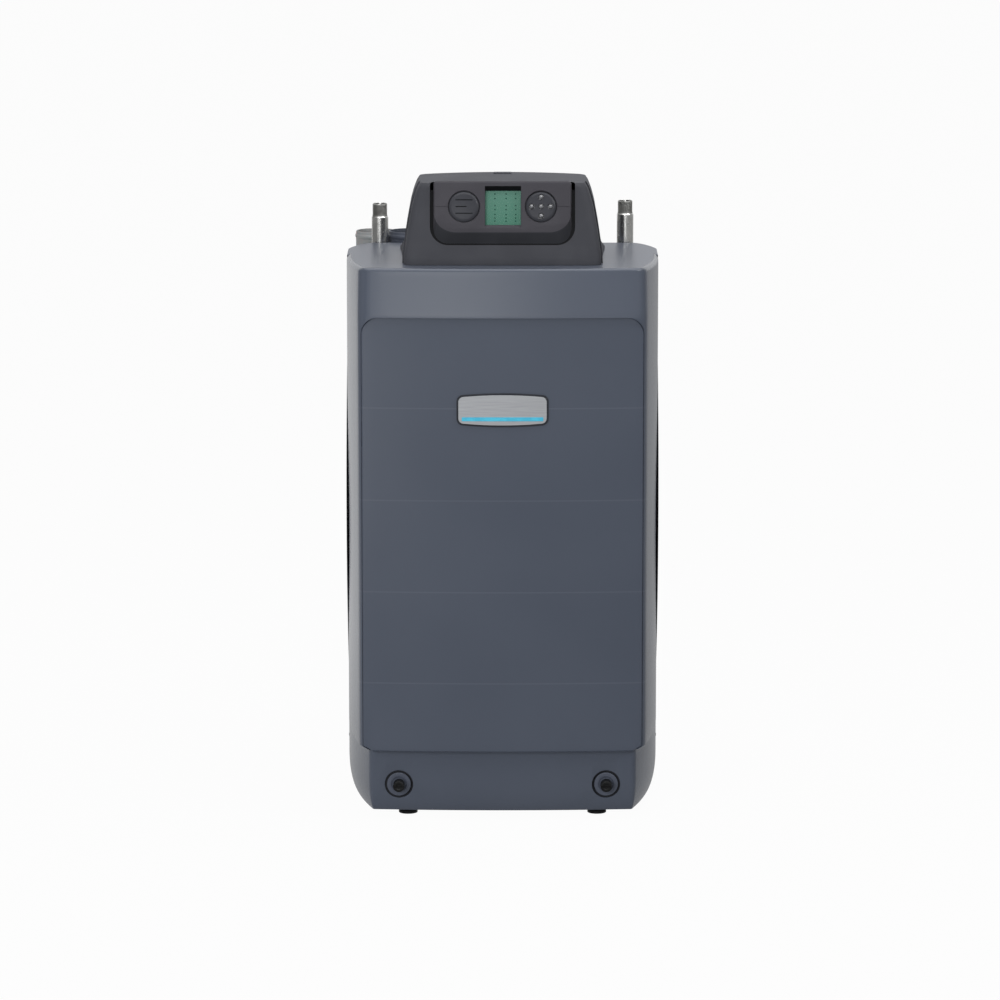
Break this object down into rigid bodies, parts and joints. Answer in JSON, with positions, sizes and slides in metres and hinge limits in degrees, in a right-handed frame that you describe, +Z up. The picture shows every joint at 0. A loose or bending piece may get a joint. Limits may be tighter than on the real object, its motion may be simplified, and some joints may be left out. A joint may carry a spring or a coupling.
{
  "type": "boiler",
  "caption": "Floor-standing condensing boiler: slate front cover on a dark cabinet, control pod with screen and keys on top, pipe and vent stubs behind.",
  "frame": {"origin": "centre of the footprint's bounding box, on the floor under the feet", "axes": "+Z up, the front cover and the screen face -Y, +X to the right seen from the front"},
  "size_m": [0.502, 0.474, 1.0086],
  "materials": {
    "slate_cover": "satin moulded plastic, slate blue grey",
    "slate_sheet": "satin powder coat, slate blue grey",
    "black_sheet": "satin powder coat, near black",
    "charcoal_plastic": "fine textured moulded plastic, charcoal",
    "black_plastic": "moulded plastic, near black",
    "gloss_key": "polished plastic dome",
    "badge_silver": "brushed silver plate, bare",
    "badge_cyan": "flat cyan inlay",
    "lcd_glass": "clear window",
    "lcd_green": "grey green liquid crystal panel",
    "circuit_board": "green circuit board",
    "zinc_sheet": "galvanised sheet",
    "steel_pipe": "turned steel",
    "copper_pipe": "bare copper pipe",
    "cast_alloy": "rough cast aluminium",
    "grey_plastic": "pale grey moulded plastic",
    "black_rubber": "black rubber",
    "ceramic": "white ceramic insulator"
  },
  "bodies": {
    "chassis": {"top_panel": "slate_sheet", "left_side_panel": "black_sheet", "right_side_panel": "black_sheet", "left_side_grip": "black_plastic", "right_side_grip": "black_plastic", "rear_shelf": "zinc_sheet", "rear_panel": "zinc_sheet", "base_tray": "zinc_sheet", "screw_rail": "zinc_sheet", "pod_front_housing": "charcoal_plastic", "pod_rear_housing": "charcoal_plastic", "display_module": "charcoal_plastic", "lcd_window": "lcd_glass", "lcd_panel": "lcd_green", "display_board": "circuit_board", "nav_pad": "charcoal_plastic", "control_box": "zinc_sheet", "control_board": "circuit_board", "supply_nipple": "steel_pipe", "return_nipple": "steel_pipe", "gas_inlet": "steel_pipe", "supply_pipe": "copper_pipe", "return_pipe": "copper_pipe", "gas_pipe": "steel_pipe", "supply_grommet": "black_rubber", "return_grommet": "black_rubber", "vent_collar": "grey_plastic", "air_inlet_collar": "slate_cover", "cable_gland": "black_plastic", "heat_exchanger": "cast_alloy", "burner_plate": "cast_alloy", "flue_sump": "cast_alloy", "flue_pipe": "grey_plastic", "hx_stand": "zinc_sheet", "blower_housing": "cast_alloy", "blower_motor": "black_plastic", "air_intake_duct": "black_plastic", "gas_valve": "cast_alloy", "igniter": "ceramic", "condensate_trap": "grey_plastic", "condensate_hose": "grey_plastic"},
    "cover": {"front_cover": "slate_cover", "front_panel": "slate_cover", "badge_plate": "badge_silver", "badge_stripe": "badge_cyan", "screw_cup_left": "slate_cover", "screw_cup_right": "slate_cover"},
    "cover_screw_left": {"cover_screw_left": "black_plastic"},
    "cover_screw_right": {"cover_screw_right": "black_plastic"},
    "menu_button": {"menu_button": "charcoal_plastic"},
    "nav_up": {"nav_up": "gloss_key"},
    "nav_down": {"nav_down": "gloss_key"},
    "nav_left": {"nav_left": "gloss_key"},
    "nav_right": {"nav_right": "gloss_key"},
    "nav_ok": {"nav_ok": "gloss_key"},
    "blower_wheel": {"blower_impeller": "cast_alloy"},
    "foot_front_left": {"foot_front_left": "black_rubber"},
    "foot_front_right": {"foot_front_right": "black_rubber"},
    "foot_rear_left": {"foot_rear_left": "black_rubber"},
    "foot_rear_right": {"foot_rear_right": "black_rubber"}
  },
  "joints": [
    {"name": "cover_slide", "type": "slide", "parent": "chassis", "child": "cover", "axis": [0, -1, 0], "range_m": [0, 0.3]},
    {"name": "cover_screw_left_turn", "type": "hinge", "parent": "cover", "child": "cover_screw_left", "pos_m": [-0.1636, -0.21342, 0.0574], "axis": [0, -1, 0], "range_deg": [0, 90]},
    {"name": "cover_screw_right_turn", "type": "hinge", "parent": "cover", "child": "cover_screw_right", "pos_m": [0.1636, -0.21342, 0.0574], "axis": [0, -1, 0], "range_deg": [0, 90]},
    {"name": "menu_button_press", "type": "slide", "parent": "chassis", "child": "menu_button", "axis": [0, 0.9752, -0.2215], "range_m": [0, 0.0012], "stiffness_N_per_m": 400},
    {"name": "nav_up_press", "type": "slide", "parent": "chassis", "child": "nav_up", "axis": [0, 0.9752, -0.2215], "range_m": [0, 0.001], "stiffness_N_per_m": 300},
    {"name": "nav_down_press", "type": "slide", "parent": "chassis", "child": "nav_down", "axis": [0, 0.9752, -0.2215], "range_m": [0, 0.001], "stiffness_N_per_m": 300},
    {"name": "nav_left_press", "type": "slide", "parent": "chassis", "child": "nav_left", "axis": [0, 0.9752, -0.2215], "range_m": [0, 0.001], "stiffness_N_per_m": 300},
    {"name": "nav_right_press", "type": "slide", "parent": "chassis", "child": "nav_right", "axis": [0, 0.9752, -0.2215], "range_m": [0, 0.001], "stiffness_N_per_m": 300},
    {"name": "nav_ok_press", "type": "slide", "parent": "chassis", "child": "nav_ok", "axis": [0, 0.9752, -0.2215], "range_m": [0, 0.001], "stiffness_N_per_m": 300},
    {"name": "blower_spin", "type": "hinge", "parent": "chassis", "child": "blower_wheel", "pos_m": [0.015, -0.035, 0.75], "axis": [0, -1, 0], "continuous": true},
    {"name": "foot_front_left_turn", "type": "hinge", "parent": "chassis", "child": "foot_front_left", "pos_m": [-0.15, -0.16, 0], "axis": [0, 0, 1], "continuous": true},
    {"name": "foot_front_right_turn", "type": "hinge", "parent": "chassis", "child": "foot_front_right", "pos_m": [0.15, -0.16, 0], "axis": [0, 0, 1], "continuous": true},
    {"name": "foot_rear_left_turn", "type": "hinge", "parent": "chassis", "child": "foot_rear_left", "pos_m": [-0.15, 0.19, 0], "axis": [0, 0, 1], "continuous": true},
    {"name": "foot_rear_right_turn", "type": "hinge", "parent": "chassis", "child": "foot_rear_right", "pos_m": [0.15, 0.19, 0], "axis": [0, 0, 1], "continuous": true}
  ]
}
